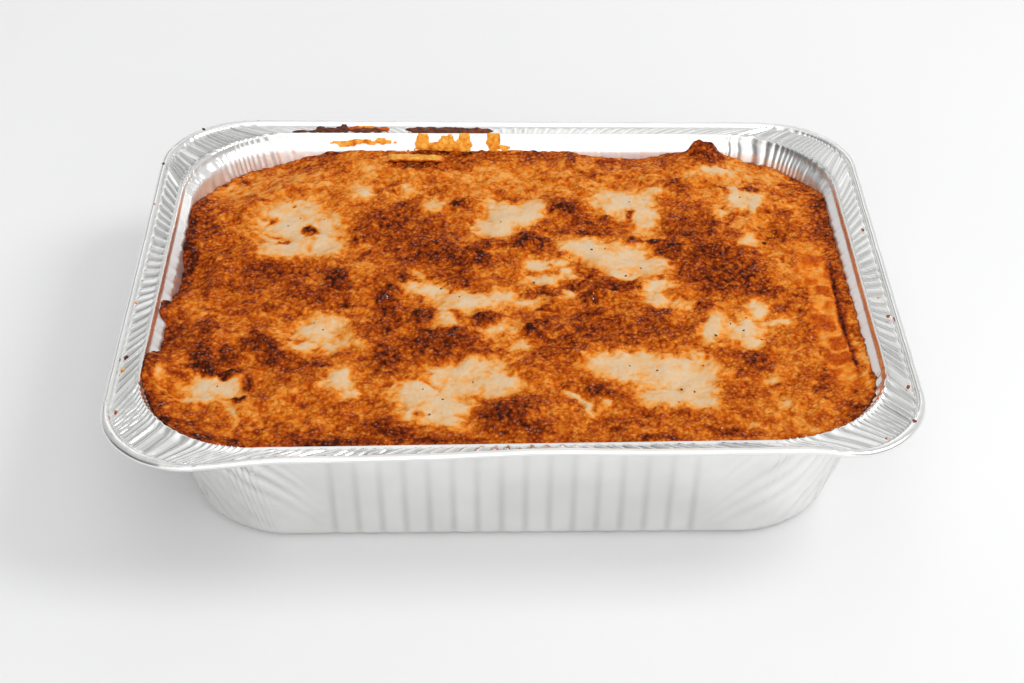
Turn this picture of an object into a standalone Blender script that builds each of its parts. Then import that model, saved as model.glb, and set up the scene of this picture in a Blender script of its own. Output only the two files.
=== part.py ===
"""Baked lasagne in a half-size aluminium foil tray.

Metres, +Z up.  The tray stands on z = 0 with its base centred on the origin, its long sides along X,
and the side that faces a viewer at -Y.  Every level below is a distance from the outer edge of the rim
(inset) and a height, so the wall, shoulder, ridge and rolled edge all follow from the four driving sizes.
"""

import math

import bmesh
import bpy
from mathutils import Vector, noise

MM = 0.001

# Driving sizes of the tray
TRAY_LENGTH = 324 * MM
TRAY_WIDTH = 264 * MM
TRAY_HEIGHT = 63.5 * MM
RIM_CORNER = 40 * MM

# The foil is 0.1 mm thick in life; the solid is thicker so that it stays a sound body
FOIL = 0.6 * MM

# Rolled edge
BEAD_RADIUS = 1.5 * MM
BEAD_STEPS = 4
BEAD_START = math.radians(70)

# Upper surface of the tray from the rolled edge inwards: inset, drop below the rim, corner radius
RIM_STATIONS = (
    (3.4 * MM, 1.9 * MM, 40 * MM),     # outer side of the channel
    (10.4 * MM, 1.9 * MM, 48 * MM),    # inner side of the channel
    (12.1 * MM, 0.6 * MM, 50 * MM),    # top of the ridge
    (13.4 * MM, 3.4 * MM, 50 * MM),    # foot of the steep face
    (16.4 * MM, 6.7 * MM, 47 * MM),    # foot of the sloping shoulder
)
WALL_FOOT_INSET = 30.4 * MM
WALL_FOOT_Z = 6.2 * MM
BASE_BEND_INSET = 32.0 * MM
BASE_BEND_Z = 2.3 * MM
BASE_EDGE_INSET = 36.5 * MM
BASE_CORNER = 41 * MM

# Upright flutes pressed into the four walls
FLUTE_PITCH = 9.6 * MM
FLUTE_HALF_WIDTH = 2.3 * MM
FLUTE_DEPTH = 0.8 * MM
LONG_WALL_FLUTES = 16
SHORT_WALL_FLUTES = 11
SHOULDER_FLUTE_SHARE = 0.45
CORNER_STEPS = 8
PLEAT_DEPTH = 0.45 * MM

# The hand-bent rim is twisted: two opposite corners stand higher than the others
RIM_TWIST = 1.8 * MM
TWIST_STARTS_Z = 25 * MM

# Along the front the rim is also bent up about its ridge, most of all near the middle; angles in degrees, x in mm
FRONT_BEND_LEFT = 16.0
FRONT_BEND_GAIN = 4.0
FRONT_BEND_PEAK = 5.5
FRONT_BEND_PEAK_X = 12.0
FRONT_BEND_PEAK_REACH = 32.0
FRONT_BEND_STARTS = -130.0
FRONT_BEND_STARTS_OVER = 45.0
FRONT_BEND_ENDS = 144.0
FRONT_BEND_ENDS_OVER = 34.0
FRONT_BEND_GAIN_STARTS = -70.0
FRONT_BEND_GAIN_OVER = 100.0

# Lasagne
FOOD_GAP = 0.5 * MM
FOOD_LEVEL = 56.3 * MM
FOOD_GRID_X = 48
FOOD_GRID_Y = 39
EDGE_STEP = 0.4 * MM
EDGE_LEVEL = 56.1 * MM
EDGE_RIPPLE = 0.5 * MM
EDGE_BAND = 0.16                      # share of the way out from the middle over which the crust meets its edge
FOOD_DOME = 0.7 * MM
LUMP_HEIGHT = 1.5 * MM
LUMP_SIZE = 21 * MM
PUCKER_HEIGHT = 0.8 * MM
PUCKER_SIZE = 8 * MM
CRUST_CEILING = 58.5 * MM

# Raised places of the crust: x, y, radius along X, radius along Y, height
CRUST_BUMPS = (
    (100, 14, 20, 22, 0.9),       # dark blister at the right
    (-38, 24, 22, 20, 0.8),       # dark blister left of the middle
    (-77, 6, 6, 5, 1.4),          # charred knob
    (8, 31, 7, 6, 1.1),
    (25, 62, 7, 6, 1.1),
    (38, -8, 12, 7, 1.0),
    (-56, -8, 12, 12, 0.7),
    (7, -34, 6, 5, 1.2),
    (-12, -28, 6, 6, 0.9),
    (-26, -38, 9, 6, 0.9),
    (0, -93, 13, 9, 0.9),
    (-49, -97, 9, 7, 0.8),
    (-126, -42, 11, 16, 1.1),
    (30, 108, 9, 5, 1.2),
    (-62, 108, 12, 5, 1.0),
)

# Sunken places, where pale sauce lies: x, y, radius along X, radius along Y, depth
PALE_HOLLOWS = (
    (-97, 45, 19, 24, 0.7),
    (-2, 54, 16, 15, 0.6),
    (55, 60, 13, 18, 0.5),
    (45, 20, 24, 15, 0.6),
    (-20, -10, 22, 11, 0.6),
    (-78, -37, 14, 13, 0.5),
    (-26, -78, 22, 15, 0.6),
    (60, -70, 24, 15, 0.7),
    (97, -35, 15, 13, 0.5),
)

# Where the crust's edge stands higher or lower on the foil: place round the edge (x, y), reach, rise
EDGE_CHANGES = (
    (-149, -64, 16, 6.0),         # corner of a pasta sheet lifted onto the ridge
    (-148, -20, 9, 3.9),          # small tag on the same side
    (-128, -108, 20, 2.0),
    (94, 118, 9, 3.8),            # torn peak of cheese at the back
    (147, -50, 60, 1.2),
    (145, -90, 12, 1.4),
    (-144, 12, 17, -4.4),
    (-126, 102, 40, -6.2),
    (54, 115, 24, -3.2),
    (126, 103, 32, -3.6),
)


def clamp01(t):
    return min(1.0, max(0.0, t))


def smooth(t):
    t = clamp01(t)
    return t * t * (3 - 2 * t)


def lerp(a, b, t):
    return a + (b - a) * t


def bell(x, y, cx, cy, rx, ry):
    """1 at the middle of an oval, fading smoothly to nothing about twice as far out; sizes in millimetres."""
    q = ((x - cx) / rx) ** 2 + ((y - cy) / ry) ** 2
    return math.exp(-q)


def rim_rise(x, y, z):
    """How far the bent rim stands above or below its true level at a point, fading out down the wall."""
    fade = smooth((z - TWIST_STARTS_Z) / (TRAY_HEIGHT - TWIST_STARTS_Z))
    return -RIM_TWIST * fade * (x / (TRAY_LENGTH / 2)) * (y / (TRAY_WIDTH / 2))


def front_bend(x):
    """Angle by which the rim is bent up along the front, at a place x in metres."""
    xm = x / MM
    left_end = smooth((xm - FRONT_BEND_STARTS) / FRONT_BEND_STARTS_OVER)
    right_end = smooth((FRONT_BEND_ENDS - xm) / FRONT_BEND_ENDS_OVER)
    gain = FRONT_BEND_GAIN * smooth((xm - FRONT_BEND_GAIN_STARTS) / FRONT_BEND_GAIN_OVER)
    peak = FRONT_BEND_PEAK * math.exp(-((xm - FRONT_BEND_PEAK_X) / FRONT_BEND_PEAK_REACH) ** 2)
    return math.radians(left_end * right_end * (FRONT_BEND_LEFT + gain + peak))


def side_places(flutes):
    """Places along a straight side: for each flute its two lips and its bottom, with 1 at the bottom."""
    places = []
    for i in range(flutes):
        middle = (i - (flutes - 1) / 2) * FLUTE_PITCH
        places += [(middle - FLUTE_HALF_WIDTH, 0), (middle, 1), (middle + FLUTE_HALF_WIDTH, 0)]
    return places


def tray_places():
    """Every place round the tray, anticlockwise: kind, place along the side or angle, flute or pleat depth."""
    places = []
    for side, flutes in enumerate((LONG_WALL_FLUTES, SHORT_WALL_FLUTES) * 2):
        places += [("side", side, along, depth) for along, depth in side_places(flutes)]
        for step in range(CORNER_STEPS + 1):
            places.append(("corner", side, step / CORNER_STEPS, step % 2))
    return places


def place_point(place, inset, corner):
    """The point and outward direction of a place on the rounded rectangle at an inset from the rim's edge."""
    kind, side, along, _ = place
    half_x = TRAY_LENGTH / 2 - inset
    half_y = TRAY_WIDTH / 2 - inset
    # sides in order: front (-Y), right (+X), back (+Y), left (-X)
    turn = side * math.pi / 2
    reach, span = (half_y, half_x) if side % 2 == 0 else (half_x, half_y)
    if kind == "side":
        flat = Vector((along, -reach))
        out = Vector((0, -1))
    else:
        angle = -math.pi / 2 + along * math.pi / 2
        out = Vector((math.cos(angle), math.sin(angle)))
        flat = Vector((span - corner, -reach + corner)) + out * corner
    c, s = math.cos(turn), math.sin(turn)
    spin = lambda v: Vector((c * v.x - s * v.y, s * v.x + c * v.y))
    return spin(flat), spin(out)


def upper_profile():
    """Upper surface from the channel down to the floor: inset, height, corner radius, share of the flute depth."""
    levels = [(inset, TRAY_HEIGHT - drop, corner, 0.0) for inset, drop, corner in RIM_STATIONS]
    inset, z, corner, _ = levels[-1]
    levels[-1] = (inset, z, corner, SHOULDER_FLUTE_SHARE)
    levels.append((WALL_FOOT_INSET, WALL_FOOT_Z, BASE_CORNER, 1.0))
    levels.append((BASE_BEND_INSET, BASE_BEND_Z, BASE_CORNER, 0.6))
    levels.append((BASE_EDGE_INSET, FOIL, BASE_CORNER - 4 * MM, 0.0))
    return levels


def lower_profile():
    """The underside: the upper surface moved by the foil's thickness along its own outward direction."""
    upper = upper_profile()
    lower = []
    for i, (inset, z, corner, share) in enumerate(upper):
        before = upper[max(0, i - 1)]
        after = upper[min(len(upper) - 1, i + 1)]
        run = Vector((after[0] - before[0], after[1] - before[1])).normalized()
        inset_low = inset + run.y * FOIL
        z_low = z - run.x * FOIL
        if i == len(upper) - 1:
            inset_low, z_low = inset, 0.0
        lower.append((inset_low, z_low, corner, share))
    return lower


def bead_profile():
    """The rolled edge, from the top of the channel round the outside to its underside."""
    levels = []
    for step in range(BEAD_STEPS + 1):
        angle = lerp(BEAD_START, 2 * math.pi - BEAD_START, step / BEAD_STEPS)
        levels.append((BEAD_RADIUS * (1 + math.cos(angle)),
                       TRAY_HEIGHT - BEAD_RADIUS * (1 - math.sin(angle)), RIM_CORNER, 0.0))
    return levels


def add_loop(bm, places, level):
    """A ring of vertices round the tray at one level."""
    inset, z, corner, share = level
    ridge_inset, ridge_drop, _ = RIM_STATIONS[2]
    ring = []
    for place in places:
        flat, out = place_point(place, inset, corner)
        depth = FLUTE_DEPTH if place[0] == "side" else PLEAT_DEPTH
        flat = flat - out * depth * share * place[3]
        level_z = z
        reach = ridge_inset - inset
        if reach > 0 and flat.y < 0 and out.y < -0.2:
            angle = front_bend(flat.x)
            rise = z - (TRAY_HEIGHT - ridge_drop)
            flat = flat + out * (reach * (math.cos(angle) - 1) - rise * math.sin(angle))
            level_z = z - rise + reach * math.sin(angle) + rise * math.cos(angle)
        ring.append(bm.verts.new((flat.x, flat.y, level_z + rim_rise(flat.x, flat.y, z))))
    return ring


def bridge(bm, low, high):
    """Faces between two rings of equal length, facing out when low lies under high on an outer wall."""
    count = len(low)
    for i in range(count):
        j = (i + 1) % count
        bm.faces.new((low[i], low[j], high[j], high[i]))


def make_material(name, colour, roughness, metallic):
    material = bpy.data.materials.new(name)
    material.use_nodes = True
    shader = material.node_tree.nodes["Principled BSDF"]
    shader.inputs["Base Color"].default_value = (*colour, 1)
    shader.inputs["Roughness"].default_value = roughness
    shader.inputs["Metallic"].default_value = metallic
    return material


def add_object(name, bm, material):
    bmesh.ops.recalc_face_normals(bm, faces=bm.faces)
    mesh = bpy.data.meshes.new(name)
    bm.to_mesh(mesh)
    bm.free()
    mesh.shade_smooth()
    mesh.set_sharp_from_angle(angle=math.radians(35))
    mesh.materials.append(material)
    obj = bpy.data.objects.new(name, mesh)
    bpy.context.scene.collection.objects.link(obj)
    return obj


def build_tray(material):
    """One closed skin: under the base, up the outside, over the rolled edge and down the inside to the floor."""
    bm = bmesh.new()
    places = tray_places()
    levels = list(reversed(lower_profile())) + list(reversed(bead_profile())) + upper_profile()
    rings = [add_loop(bm, places, level) for level in levels]
    for low, high in zip(rings, rings[1:]):
        bridge(bm, low, high)
    bm.faces.new(reversed(rings[0]))
    bm.faces.new(rings[-1])
    bmesh.ops.triangulate(bm, faces=[f for f in bm.faces if len(f.verts) > 4])
    return add_object("foil_tray", bm, material)


def inner_inset(z):
    """Inset of the tray's inner face at a height, and its corner radius there."""
    levels = upper_profile()[2:]
    for (inset_hi, z_hi, corner_hi, _), (inset_lo, z_lo, corner_lo, _) in zip(levels, levels[1:]):
        if z >= z_lo:
            t = clamp01((z - z_lo) / (z_hi - z_lo))
            return lerp(inset_lo, inset_hi, t), lerp(corner_lo, corner_hi, t)
    return levels[-1][0], levels[-1][2]


def plateau(distance, reach):
    """1 close to a place, fading smoothly to nothing at a fifth beyond its reach."""
    flat_share, fade_share = 0.4, 0.8
    return 1 - smooth((distance / reach - flat_share) / fade_share)


def edge_level(x, y):
    """Height of the crust's edge at a place round the tray; x and y in metres."""
    xm, ym = x / MM, y / MM
    level = EDGE_LEVEL + EDGE_RIPPLE * noise.noise(Vector((xm / 14, ym / 14, 3.1)))
    for cx, cy, reach, rise in EDGE_CHANGES:
        level += rise * MM * plateau(math.hypot(xm - cx, ym - cy), reach)
    return level


def crust_height(x, y, edge_share):
    """Height of the crust; edge_share is 0 in the middle and 1 at the tray's wall."""
    xm, ym = x / MM, y / MM
    inner = FOOD_LEVEL + FOOD_DOME * (1 - edge_share ** 2)
    inner += LUMP_HEIGHT * noise.noise(Vector((x / LUMP_SIZE, y / LUMP_SIZE, 0.7)))
    inner += PUCKER_HEIGHT * noise.noise(Vector((x / PUCKER_SIZE, y / PUCKER_SIZE, 5.3)))
    for cx, cy, rx, ry, height in CRUST_BUMPS:
        inner += height * MM * bell(xm, ym, cx, cy, rx, ry)
    for cx, cy, rx, ry, depth in PALE_HOLLOWS:
        inner -= depth * MM * bell(xm, ym, cx, cy, rx, ry)
    inner = min(inner, CRUST_CEILING)
    return lerp(inner, edge_level(x, y), smooth((edge_share - 1 + EDGE_BAND) / EDGE_BAND))


def food_places():
    """Edge of a unit square, anticlockwise from its front left corner, as whole grid steps."""
    nx, ny = FOOD_GRID_X, FOOD_GRID_Y
    return ([(i, 0) for i in range(nx)] + [(nx, j) for j in range(ny)]
            + [(nx - i, ny) for i in range(nx)] + [(0, ny - j) for j in range(ny)])


def square_to_outline(u, v, half_x, half_y, corner):
    """The point on a rounded rectangle that matches a point (u, v) on the edge of a square from -1 to 1."""
    arc_share = 0.30
    across = abs(v) >= abs(u)
    along = u if across else v
    straight = 1 - arc_share
    span, reach = (half_x, half_y) if across else (half_y, half_x)
    if abs(along) <= straight:
        p = along / straight * (span - corner)
        q = reach
    else:
        turn = (abs(along) - straight) / arc_share * math.pi / 4
        p = math.copysign(span - corner + corner * math.sin(turn), along)
        q = reach - corner + corner * math.cos(turn)
    lead = v if across else u
    return (p, math.copysign(q, lead)) if across else (math.copysign(q, lead), p)


def outline_at(u, v, z):
    inset, corner = inner_inset(z)
    inset += FOOD_GAP + FLUTE_DEPTH * (1 if z < FOOD_LEVEL else SHOULDER_FLUTE_SHARE)
    return square_to_outline(u, v, TRAY_LENGTH / 2 - inset, TRAY_WIDTH / 2 - inset, corner)


def side_stops():
    """Heights of the rings down the food's side, each at a bend of the foil, and its least depth under the crust."""
    steep_foot = TRAY_HEIGHT - RIM_STATIONS[3][1]
    shoulder_foot = TRAY_HEIGHT - RIM_STATIONS[4][1]
    return ((steep_foot, EDGE_STEP), (shoulder_foot, 2 * EDGE_STEP), (WALL_FOOT_Z, 0), (FOIL + FOOD_GAP, 0))


def build_lasagne(material):
    """A solid block that fills the tray to a lumpy crust: a gridded top, walls down the foil and a flat underside."""
    bm = bmesh.new()
    nx, ny = FOOD_GRID_X, FOOD_GRID_Y
    top = {}
    level = {}
    for i in range(nx + 1):
        for j in range(ny + 1):
            u, v = 2 * i / nx - 1, 2 * j / ny - 1
            share = max(abs(u), abs(v))
            if share < 1e-9:
                x, y = 0.0, 0.0
            else:
                # Two passes, because the outline depends on how high the crust's edge stands there
                edge_u, edge_v = u / share, v / share
                ex, ey = outline_at(edge_u, edge_v, FOOD_LEVEL)
                ex, ey = outline_at(edge_u, edge_v, edge_level(ex, ey))
                blend = share ** 3
                inset, _ = inner_inset(FOOD_LEVEL)
                x = lerp(u * (TRAY_LENGTH / 2 - inset), ex * share, blend)
                y = lerp(v * (TRAY_WIDTH / 2 - inset), ey * share, blend)
            z = crust_height(x, y, share)
            level[i, j] = z
            top[i, j] = bm.verts.new((x, y, z + rim_rise(x, y, z) * share ** 4))
    for i in range(nx):
        for j in range(ny):
            bm.faces.new((top[i, j], top[i + 1, j], top[i + 1, j + 1], top[i, j + 1]))
    places = food_places()
    rings = [[top[p] for p in places]]
    for stop, gap_below_crust in side_stops():
        ring = []
        for i, j in places:
            z = min(stop, level[i, j] - gap_below_crust)
            x, y = outline_at(2 * i / nx - 1, 2 * j / ny - 1, z)
            ring.append(bm.verts.new((x, y, z + rim_rise(x, y, z))))
        rings.append(ring)
    for high, low in zip(rings, rings[1:]):
        bridge(bm, low, high)
    bm.faces.new(reversed(rings[-1]))
    bmesh.ops.triangulate(bm, faces=[f for f in bm.faces if len(f.verts) > 4])
    return add_object("lasagne", bm, material)


def main():
    for old in list(bpy.data.objects):
        bpy.data.objects.remove(old)
    foil = make_material("foil", (0.86, 0.87, 0.88), 0.28, 1.0)
    crust = make_material("baked_crust", (0.55, 0.20, 0.05), 0.5, 0.0)
    build_tray(foil)
    build_lasagne(crust)


main()
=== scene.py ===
"""Looks of the foil tray meal: a crinkled foil pan and the browned, bubbled crust of the lasagne in it.

Sizes are worked out in millimetres and turned into metres where a mesh is made. The pan follows the same
stations as its solid: a distance in from the rolled edge (inset), a height, and a corner radius.
"""

import math

import bpy
import numpy as np
from mathutils import Matrix, Vector, noise
from mathutils.bvhtree import BVHTree


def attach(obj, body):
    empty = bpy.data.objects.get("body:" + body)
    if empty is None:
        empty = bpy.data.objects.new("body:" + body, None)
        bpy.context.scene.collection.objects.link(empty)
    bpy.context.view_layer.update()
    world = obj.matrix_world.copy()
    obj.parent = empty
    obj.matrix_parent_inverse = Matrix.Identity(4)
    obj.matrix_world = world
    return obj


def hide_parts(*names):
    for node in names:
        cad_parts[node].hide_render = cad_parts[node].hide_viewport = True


MM = 0.001

# Pan, in millimetres
HALF_LENGTH = 162.0
HALF_WIDTH = 132.0
RIM_Z = 63.5
FOIL = 0.6
BEAD_RADIUS = 1.5
BEAD_CORNER = 40.0
RIDGE_INSET = 12.1
RIDGE_Z = 62.9
BRIM_INSET = 13.43
WALL_FOOT_Z = 6.2
BASE_EDGE_INSET = 36.5
TWIST = 1.8
TWIST_STARTS_Z = 25.0
FLUTE_PITCH = 9.6
FLUTE_REACH = 2.9
FLUTE_DEPTH = 0.8
FLUTES_ON_LONG_SIDE = 16
FLUTES_ON_SHORT_SIDE = 11
CRIMPED_LONG, CRIMPED_SHORT = 110.0, 80.0      # half lengths of the crimped parts of the sides
CRIMP_PITCH_LONG, CRIMP_PITCH_SHORT = 5.4, 6.2
CRIMP_HEIGHTS = (1.25, 0.75, 0.3, 0.75)        # front, right, back, left
CORNER_PLEATS = 21
CORNER_PLEAT_HEIGHT = 0.85
WRINKLE_PITCH = 6.5
WRINKLE_DEPTH = 0.9
WALL_TOP_Z = 57.0
CORNER_REACH = 70.0        # way round a corner, as the wrinkles count it
BRIM_LINE = 0.14           # reach of the brown line on the brim
CREASE_INSET = 12.95
OUTSIDE_STEP = 1.8
WALL_SHARE = 0.4           # share of flute depth above which a station lies on the wall

# Mesh columns along each side and round each corner of the pan, and steps round its rolled edge
LONG_SIDE_STEPS = 236
SHORT_SIDE_STEPS = 180
CORNER_STEPS = 150
BEAD_STEPS = 12

# Sides of the pan, in the order of its columns
FRONT, RIGHT, BACK, LEFT = range(4)

# Crust, in millimetres
FOOD_LEVEL = 56.3
FOOD_CEILING = 58.5
GRID_X = 324               # cells of the crust's grid
GRID_Y = 264
EDGE_LEVEL = 56.1
FOIL_GAP = 0.25
LIP_X = 140.2
PASTA_X, PASTA_LENGTH = -58.5, 29.0
PASTA_Y, PASTA_WIDTH = 111.2, 7.6
FILM_STEP = 0.4
# Rings down the sides of the lasagne: highest level, and least drop from the crust's edge
SIDE_RINGS = ((60.1, 0.4), (56.8, 0.8), (30.0, 0.0), (WALL_FOOT_Z, 0.0), (1.1, 0.0))

# A face with this many corners or more is a flat end of a piece and is shaded flat
LARGE_FACE = 100

# Camera and light: the lens in millimetres, places and sizes in metres, the power in watts
CAMERA_LENS = 71.652
CAMERA_PLACE = (-0.007062, -0.732818, 0.545194)
CAMERA_FORWARD = (0.00843038, 0.81589228, -0.57814247)
WINDOW_PLACE = (1.25, -0.15, 1.4)
WINDOW_TARGET = (0.0, 0.0, 0.03)
WINDOW_SIZE = 0.7
WINDOW_POWER = 11.8
SKY_LEVEL = 0.53
FLOOR_REACH = 6.0

# Upper surface of the pan from the rolled edge inwards: inset, height, corner radius, share of flute depth
PAN_STATIONS = (
    (3.05, 61.95, 40.0, 0.0),
    (3.6, 61.6, 40.0, 0.0),
    (4.4, 61.5, 41.0, 0.0),
    (5.2, 61.5, 42.0, 0.0),
    (6.0, 61.5, 43.0, 0.0),
    (6.8, 61.5, 44.0, 0.0),
    (7.6, 61.5, 45.0, 0.0),
    (8.4, 61.5, 46.0, 0.0),
    (9.2, 61.55, 47.0, 0.0),
    (10.1, 61.6, 48.0, 0.0),
    (10.9, 61.85, 49.0, 0.0),
    (11.35, 62.25, 49.5, 0.0),
    (11.7, 62.6, 50.0, 0.0),
    (12.0, 62.85, 50.0, 0.0),
    (12.3, 62.88, 50.0, 0.0),
    (12.55, 62.6, 50.0, 0.0),
    (12.85, 61.9, 50.0, 0.05),
    (13.15, 61.0, 50.0, 0.08),
    (13.4, 60.2, 50.0, 0.1),
    (13.7, 59.8, 50.0, 0.15),
    (14.2, 59.25, 49.3, 0.25),
    (14.8, 58.6, 48.7, 0.35),
    (15.4, 57.95, 48.0, 0.45),
    (16.0, 57.3, 47.4, 0.5),
    (16.45, 56.65, 47.0, 0.5),
    (16.9, 55.2, 46.9, 0.52),
    (17.35, 53.5, 46.6, 0.55),
    (18.1, 50.8, 46.3, 0.6),
    (19.1, 47.0, 45.8, 0.65),
    (21.5, 38.5, 44.8, 0.75),
    (26.0, 22.0, 42.9, 0.9),
    (30.4, WALL_FOOT_Z, 41.0, 1.0),
    (32.0, 2.3, 41.0, 0.6),
    (BASE_EDGE_INSET, FOIL, 37.0, 0.0),
)

# Outside of the pan from the rolled edge down: the same kind of stations, with more put between them later
OUTSIDE_STATIONS = (
    (3.3, 60.9, 40.0, 0.0),
    (4.4, 60.9, 41.0, 0.0),
    (6.8, 60.9, 44.0, 0.0),
    (9.4, 60.95, 47.0, 0.0),
    (11.0, 61.2, 49.0, 0.0),
    (12.0, 61.0, 50.0, 0.0),
    (12.7, 59.8, 50.0, 0.1),
    (13.6, 58.7, 49.3, 0.25),
    (14.7, 57.5, 48.0, 0.4),
    (15.7, 56.2, 47.0, 0.5),
    (16.3, 54.5, 46.9, 0.52),
    (17.2, 51.2, 46.4, 0.6),
    (25.0, 23.0, 42.9, 0.9),
    (29.7, 6.3, 41.0, 1.0),
    (30.5, 3.9, 41.0, 0.9),
    (31.6, 1.9, 41.0, 0.6),
    (33.4, 0.7, 40.0, 0.3),
    (BASE_EDGE_INSET, 0.0, 37.0, 0.0),
)

# Pale sauce showing through the crust: middle x, y, half sizes, how pale, and for some a turn in degrees
PALE_PATCHES = (
    # the big patch at the back left
    (-97, 50, 15, 17, 1.0), (-100, 32, 10, 10, 1.0, 20), (-84, 32, 8, 8, 0.75), (-108, 26, 5, 6, 0.6, 30),
    # back middle
    (-7, 45, 8, 7, 1.0), (-1, 55, 9, 9, 1.0), (10, 61, 5, 8, 0.95), (-8, 65, 4, 5, 0.7),
    (-35, 65, 5, 6, 0.75), (-48, 78, 4, 6, 0.5, 10), (-68, 76, 4, 6, 0.5), (-54, 73, 3, 5, 0.5),
    # back right of the middle
    (51, 65, 10, 9, 1.0), (61, 58, 5, 14, 1.0, 8), (66, 77, 5, 4, 0.6), (61, 44, 6, 5, 0.6),
    # diagonal one through the middle right
    (33, 27, 9, 7, 1.0, -10), (43, 17, 7, 9, 1.0, 20), (52, 20, 8, 10, 1.0), (61, 13, 8, 7, 0.95),
    (49, 6, 6, 5, 0.85), (63, -2, 7, 4, 0.95), (63, -11, 5, 6, 0.85), (72, -16, 5, 4, 0.6),
    (12, 15, 6, 4, 0.95), (22, 16, 5, 3, 0.7), (14, 3, 9, 4, 0.7), (27, 8, 5, 4, 0.75),
    (25, -8, 5, 4, 0.75),
    # back right corner
    (105, 68, 5, 5, 0.9), (110, 73, 7, 3, 0.95), (112, 67, 3, 6, 0.9), (103, 78, 4, 3, 0.8),
    (96, 57, 3, 6, 0.8, -15), (98, 97, 8, 4, 0.45, 20), (106, 32, 3, 5, 0.6), (80, 92, 8, 3, 0.4, 20),
    # middle
    (-36, -5, 9, 5, 0.9, -15), (-18, -14, 13, 6, 1.0, -5), (-4, -10, 6, 6, 0.9), (6, -13, 8, 5, 0.65),
    (-28, -25, 4, 9, 0.8, 10), (-5, -33, 8, 5, 0.5), (3, -47, 4, 3, 0.7), (-12, 5, 6, 6, 0.35),
    (-40, 5, 3, 6, 0.5),
    # left
    (-80, -32, 9, 8, 0.9), (-75, -42, 6, 6, 0.85), (-86, -45, 5, 3, 0.75), (-64, -45, 4, 3, 0.6),
    (-92, -36, 8, 5, 0.4), (-69, -70, 5, 8, 0.85, 15), (-66, -79, 5, 4, 0.7), (-75, -73, 4, 3, 0.6),
    (-88, -78, 8, 5, 0.3, 20),
    # the big patch in front of the middle
    (-17, -64, 12, 6, 1.0), (-8, -72, 9, 7, 1.0), (-20, -73, 12, 6, 1.0), (-39, -79, 9, 8, 0.9),
    (-28, -87, 11, 8, 0.9), (-23, -96, 5, 5, 0.7),
    # front right
    (48, -60, 16, 8, 1.0, -8), (68, -66, 14, 12, 1.0), (66, -80, 14, 8, 1.0, 15), (75, -86, 6, 5, 0.9),
    (27, -84, 1.6, 9, 0.7, 30), (38, -86, 1.6, 5, 0.5, -30), (86, -30, 3, 8, 0.8), (96, -35, 8, 8, 0.85),
    (84, -38, 5, 5, 0.8), (99, -43, 5, 4, 0.7), (104, -20, 4, 5, 0.85), (112, -29, 4, 2.5, 0.6),
    (106, -71, 3, 4, 0.5), (107, -86, 2, 6, 0.5, 15), (94, -100, 9, 2, 0.45, -25),
    # front left corner
    (-121, -72, 9, 6, 1.0, -10), (-125, -80, 9, 4, 0.7, 10), (-144, -67, 2, 4, 0.7),
    (-111, -94, 1.6, 8, 0.6, 10),
)

# Baked cheese left golden: middle x, y, half sizes, how golden, turn
GOLDEN_PATCHES = (
    (-125, 84, 12, 9, 0.7), (-112, 93, 14, 7, 0.6), (-95, 92, 16, 8, 0.4), (-75, 80, 16, 14, 0.55),
    (-80, 44, 8, 8, 0.8), (-65, 92, 10, 10, 0.5), (-45, 80, 8, 12, 0.55), (-12, 92, 10, 12, 0.5),
    (2, 85, 9, 12, 0.6), (-15, 76, 10, 6, 0.5), (8, 54, 3, 6, 1.0), (22, 78, 14, 6, 0.5),
    (40, 78, 10, 8, 0.6), (100, 95, 16, 9, 0.65), (104, 61, 5, 5, 1.1), (106, 45, 9, 14, 0.7),
    (121, 92, 8, 6, 0.5), (92, 70, 8, 12, 0.5), (-65, 30, 10, 6, 0.5), (-62, 12, 9, 6, 0.6),
    (-120, 12, 10, 6, 0.35), (-122, -5, 6, 4, 0.7), (-134, -18, 6, 9, 0.9, 20), (-112, -25, 8, 12, 0.35),
    (-136, -54, 3, 7, 0.8, 25), (-5, 25, 4, 4, 0.8), (20, 38, 8, 4, 0.6, -20), (-5, -40, 9, 7, 0.7),
    (2, -58, 10, 5, 0.3), (-112, -80, 6, 10, 0.8), (-100, -88, 14, 8, 0.5), (-5, -66, 4, 4, 1.0),
    (45, -68, 3.5, 3, 1.0), (73, -69, 4.5, 5, 1.0), (18, -76, 12, 5, 0.45, -20), (30, -92, 14, 5, 0.45),
    (98, -92, 14, 8, 0.45), (110, -92, 8, 12, 0.5), (115, 12, 9, 9, 0.6), (90, -22, 8, 6, 0.6),
    (134, 5, 5, 12, 0.6), (134, -22, 5, 10, 0.8), (60, 102, 8, 6, 0.4), (-35, -96, 14, 5, 0.7),
    (62, -45, 10, 4, 0.4),
    # the upturned lip along the right side
    (143.5, -62, 1.8, 26, 1.5), (143.5, -10, 1.6, 26, 0.8), (136, -99, 10, 2.5, 0.6, 40),
)
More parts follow.
